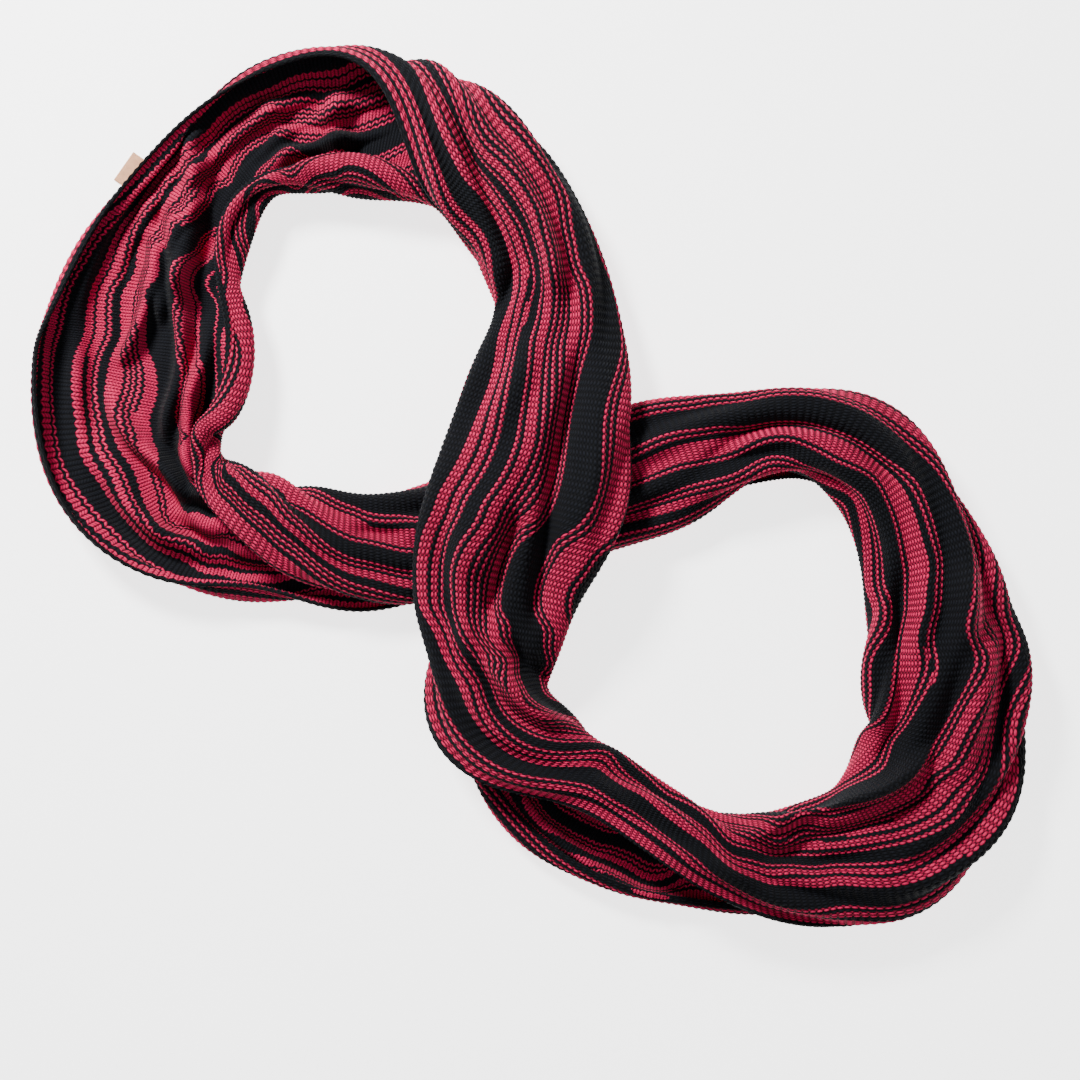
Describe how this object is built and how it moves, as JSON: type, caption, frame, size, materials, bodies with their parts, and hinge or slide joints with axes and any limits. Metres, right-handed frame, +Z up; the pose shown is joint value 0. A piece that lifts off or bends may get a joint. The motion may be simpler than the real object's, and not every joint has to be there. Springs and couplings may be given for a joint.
{
  "type": "knitted loop scarf",
  "caption": "Long striped knitted loop scarf (neck gaiter) laid in a figure of eight, with a small blank leather label that folds at its stitched edge.",
  "frame": {"origin": "middle of the laid scarf's outline, on the surface that it lies on", "axes": "+X along the figure of eight from the open-topped left loop to the right loop, +Y away from a person looking at it, +Z up out of the surface"},
  "size_m": [0.5744, 0.5156, 0.0536],
  "materials": {
    "knitted_band": "stockinette knit in a raspberry and navy black self-striping yarn",
    "label_leather": "smooth tan leather, blank",
    "label_thread": "waxed sewing thread"
  },
  "bodies": {
    "scarf": {"band_crossing_upper_layer": "knitted_band", "band_left_loop_shoulder": "knitted_band", "band_left_loop_top": "knitted_band", "band_left_loop_side": "knitted_band", "band_left_loop_bottom": "knitted_band", "band_crossing_lower_layer": "knitted_band", "band_right_loop_top": "knitted_band", "band_right_loop_side": "knitted_band", "band_right_loop_bottom": "knitted_band", "band_right_loop_shoulder": "knitted_band", "label_sewn_part": "label_leather", "label_stitches": "label_thread"},
    "label": {"label_free_part": "label_leather"}
  },
  "joints": [
    {"name": "label_fold", "type": "hinge", "parent": "scarf", "child": "label", "pos_m": [-0.235, 0.186, 0.0014], "axis": [0.5736, 0.8191, 0], "range_deg": [0, 80]}
  ]
}
